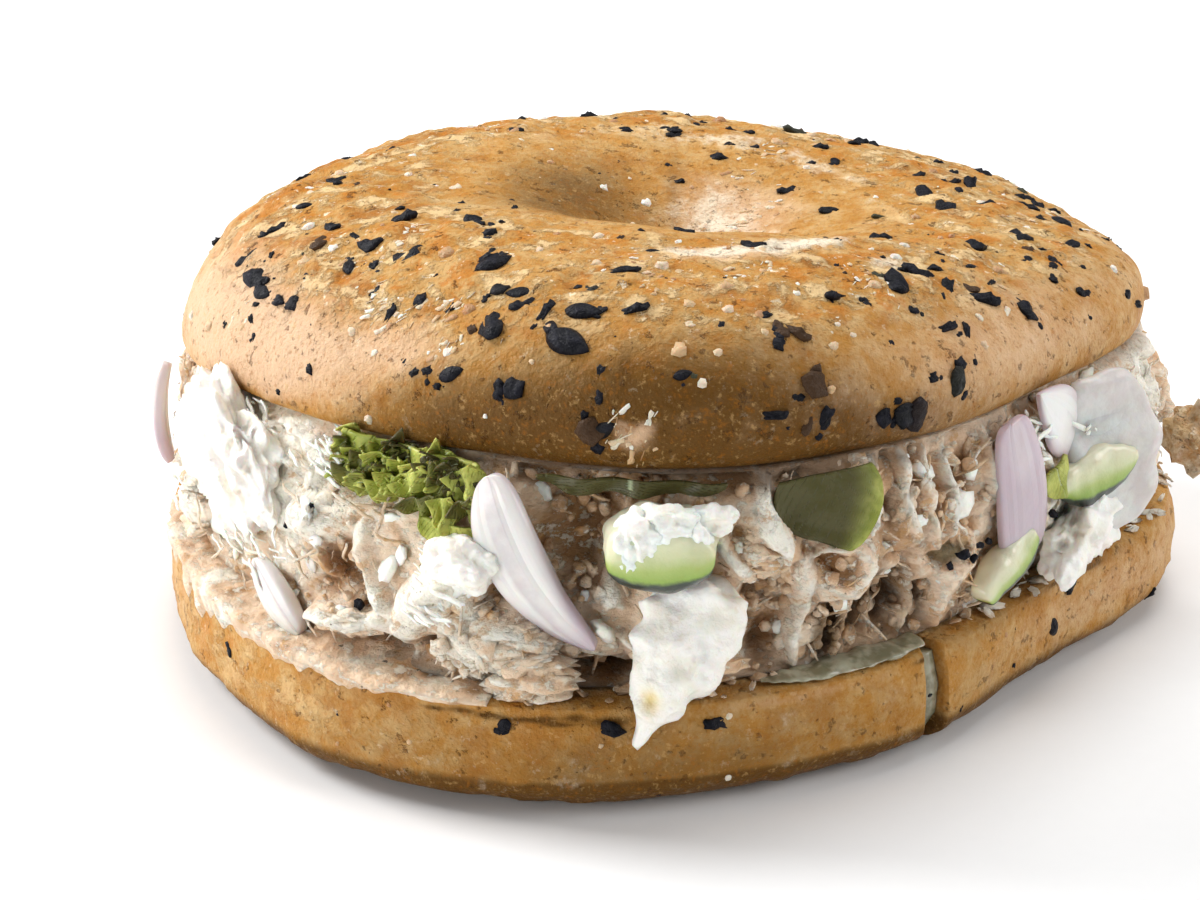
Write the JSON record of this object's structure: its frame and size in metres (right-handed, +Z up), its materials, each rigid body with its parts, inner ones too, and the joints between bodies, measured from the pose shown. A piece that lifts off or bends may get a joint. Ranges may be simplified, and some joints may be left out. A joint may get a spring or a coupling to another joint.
{
  "type": "bagel sandwich",
  "caption": "Seeded bagel cut in two round a thick fish salad with red onion, cucumber, salad leaves and cream cheese.",
  "frame": {"origin": "middle of the lower half's flat underside, on the surface it rests on", "axes": "+Z up, through the stack; -Y is the front, which the picture shows; +X is the front's right-hand side"},
  "size_m": [0.1212, 0.1122, 0.0517],
  "materials": {
    "crust": "baked crust, satin, with dark and pale seeds",
    "salad": "moist flaked fish in dressing",
    "cream": "soft, slightly glossy cream cheese",
    "dressing": "thin wet dressing",
    "cucumber": "wet flesh with a dark skin edge",
    "leaf": "fresh leaf, satin",
    "onion": "translucent pale lilac, wet"
  },
  "bodies": {
    "root": {"bagel_heel": "crust", "bagel_crown": "crust", "crust_crumb": "crust", "tuna_salad": "salad", "cream_left": "cream", "cream_lump": "cream", "cream_right": "cream", "cream_back": "cream", "cream_drip": "cream", "dressing_streak": "dressing", "cucumber_chunk": "cucumber", "cucumber_strip": "cucumber", "cucumber_slice": "cucumber", "cucumber_back": "cucumber", "leaf_front": "leaf", "leaf_right": "leaf", "lettuce_left": "leaf", "lettuce_bit": "leaf", "lettuce_front": "leaf", "lettuce_back": "leaf", "onion_front": "onion", "onion_left": "onion", "onion_right": "onion", "onion_far_right": "onion", "onion_left_edge": "onion", "onion_sheet_right": "onion", "onion_back": "onion", "onion_back_left": "onion"}
  },
  "joints": []
}
